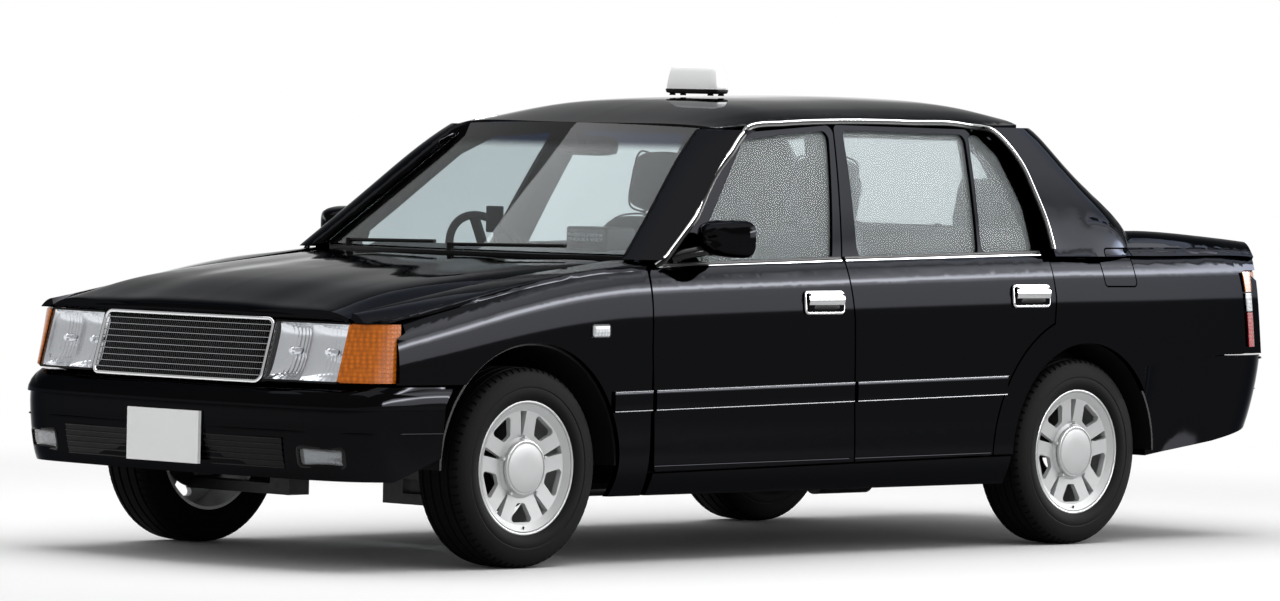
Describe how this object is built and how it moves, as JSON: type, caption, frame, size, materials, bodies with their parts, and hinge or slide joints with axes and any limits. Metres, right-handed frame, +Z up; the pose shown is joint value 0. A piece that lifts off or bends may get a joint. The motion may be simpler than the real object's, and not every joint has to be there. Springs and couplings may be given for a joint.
{
  "type": "taxi cab",
  "caption": "Four-door saloon taxi cab with roof sign, hollow cabin, opening doors, bonnet, boot lid and fuel flap, steered front wheels and rolling wheels.",
  "frame": {"origin": "centre of the car's length and width, on the ground", "axes": "+X to the car's left, +Y to its tail, +Z up"},
  "size_m": [1.982, 4.59, 1.6087],
  "materials": {
    "black_paint": "gloss",
    "bumper_paint": "gloss",
    "tyre_rubber": "matte",
    "wheel_alloy": "satin silver",
    "window_glass": "clear tinted",
    "lamp_glass": "clear fluted",
    "amber_lens": "amber",
    "red_lens": "red",
    "bright_metal": "polished",
    "plate_white": "matte",
    "sign_white": "satin",
    "dark_plastic": "matte",
    "seat_fabric": "woven",
    "dark_iron": "matte",
    "engine_metal": "cast",
    "under_steel": "dull",
    "primer_steel": "matte"
  },
  "bodies": {
    "car_body": {"corner_lamps": "amber_lens", "cowl_panel": "dark_plastic", "dashboard": "dark_plastic", "engine_bay": "primer_steel", "engine_block": "engine_metal", "exhaust": "under_steel", "fare_meter": "dark_plastic", "floor_pan": "primer_steel", "fog_lamps": "lamp_glass", "front_bumper": "bumper_paint", "front_fenders": "black_paint", "front_pillars": "black_paint", "front_plate": "plate_white", "front_seats": "seat_fabric", "front_suspension": "dark_iron", "fuel_tank": "under_steel", "grille": "bright_metal", "headlamps": "lamp_glass", "inner_mirror": "dark_plastic", "rear_axle": "dark_iron", "rear_bumper": "bumper_paint", "rear_panel": "black_paint", "rear_quarters": "black_paint", "rear_seat": "seat_fabric", "rear_window": "window_glass", "roof_panel": "black_paint", "roof_sign": "sign_white", "side_frames": "black_paint", "tail_lamps": "red_lens", "wheel_liners": "dark_plastic", "windscreen": "window_glass", "wipers": "dark_plastic"},
    "front_door_body_left": {"front_door_left": "black_paint", "front_door_glass_left": "window_glass", "door_mirror_left": "black_paint"},
    "front_door_body_right": {"front_door_right": "black_paint", "front_door_glass_right": "window_glass", "door_mirror_right": "black_paint"},
    "rear_door_body_left": {"rear_door_left": "black_paint", "rear_door_glass_left": "window_glass"},
    "rear_door_body_right": {"rear_door_right": "black_paint", "rear_door_glass_right": "window_glass"},
    "bonnet_body": {"bonnet": "black_paint"},
    "boot_lid_body": {"boot_lid": "black_paint", "rear_plate": "plate_white"},
    "fuel_flap_body": {"fuel_flap": "black_paint"},
    "steering_wheel_body": {"steering_wheel": "dark_plastic"},
    "steered_left": {"knuckle_left": "dark_iron"},
    "steered_right": {"knuckle_right": "dark_iron"},
    "wheel_front_left": {"rim_front_left": "wheel_alloy", "tyre_front_left": "tyre_rubber"},
    "wheel_front_right": {"rim_front_right": "wheel_alloy", "tyre_front_right": "tyre_rubber"},
    "wheel_rear_left": {"rim_rear_left": "wheel_alloy", "tyre_rear_left": "tyre_rubber"},
    "wheel_rear_right": {"rim_rear_right": "wheel_alloy", "tyre_rear_right": "tyre_rubber"}
  },
  "joints": [
    {"name": "steer_left", "type": "hinge", "parent": "car_body", "child": "steered_left", "pos_m": [0.69, -1.491, 0.317], "axis": [0, 0, 1], "range_deg": [-35, 35]},
    {"name": "steer_right", "type": "hinge", "parent": "car_body", "child": "steered_right", "pos_m": [-0.69, -1.491, 0.317], "axis": [0, 0, 1], "range_deg": [-35, 35]},
    {"name": "roll_front_left", "type": "hinge", "parent": "steered_left", "child": "wheel_front_left", "pos_m": [0.727, -1.491, 0.317], "axis": [1, 0, 0], "continuous": true},
    {"name": "roll_rear_left", "type": "hinge", "parent": "car_body", "child": "wheel_rear_left", "pos_m": [0.715, 1.189, 0.317], "axis": [1, 0, 0], "continuous": true},
    {"name": "roll_front_right", "type": "hinge", "parent": "steered_right", "child": "wheel_front_right", "pos_m": [-0.727, -1.491, 0.317], "axis": [1, 0, 0], "continuous": true},
    {"name": "roll_rear_right", "type": "hinge", "parent": "car_body", "child": "wheel_rear_right", "pos_m": [-0.715, 1.189, 0.317], "axis": [1, 0, 0], "continuous": true},
    {"name": "front_door_hinge_left", "type": "hinge", "parent": "car_body", "child": "front_door_body_left", "pos_m": [0.8435, -0.9445, 0.6], "axis": [0, 0, 1], "range_deg": [-68, 0]},
    {"name": "rear_door_hinge_left", "type": "hinge", "parent": "car_body", "child": "rear_door_body_left", "pos_m": [0.8435, 0.02353, 0.50706], "axis": [0, -0.0494, 0.9988], "range_deg": [-68, 0]},
    {"name": "front_door_hinge_right", "type": "hinge", "parent": "car_body", "child": "front_door_body_right", "pos_m": [-0.8435, -0.9445, 0.6], "axis": [0, 0, 1], "range_deg": [0, 68]},
    {"name": "rear_door_hinge_right", "type": "hinge", "parent": "car_body", "child": "rear_door_body_right", "pos_m": [-0.8435, 0.02353, 0.50706], "axis": [0, -0.0494, 0.9988], "range_deg": [0, 68]},
    {"name": "bonnet_hinge", "type": "hinge", "parent": "car_body", "child": "bonnet_body", "pos_m": [0, -0.93, 0.968], "axis": [1, 0, 0], "range_deg": [-48, 0]},
    {"name": "boot_lid_hinge", "type": "hinge", "parent": "car_body", "child": "boot_lid_body", "pos_m": [0, 1.526, 1.066], "axis": [1, 0, 0], "range_deg": [0, 72]},
    {"name": "fuel_flap_hinge", "type": "hinge", "parent": "car_body", "child": "fuel_flap_body", "pos_m": [0.848, 1.28, 0.95], "axis": [0, 0, 1], "range_deg": [-100, 0]},
    {"name": "steering_wheel_turn", "type": "hinge", "parent": "car_body", "child": "steering_wheel_body", "pos_m": [-0.37, -0.478, 0.915], "axis": [0, 0.9063, 0.4226], "range_deg": [-540, 540]}
  ],
  "couplings": [
    {"joint": "steer_right", "follows": "steer_left", "ratio": 1},
    {"joint": "steering_wheel_turn", "follows": "steer_left", "ratio": 15}
  ]
}
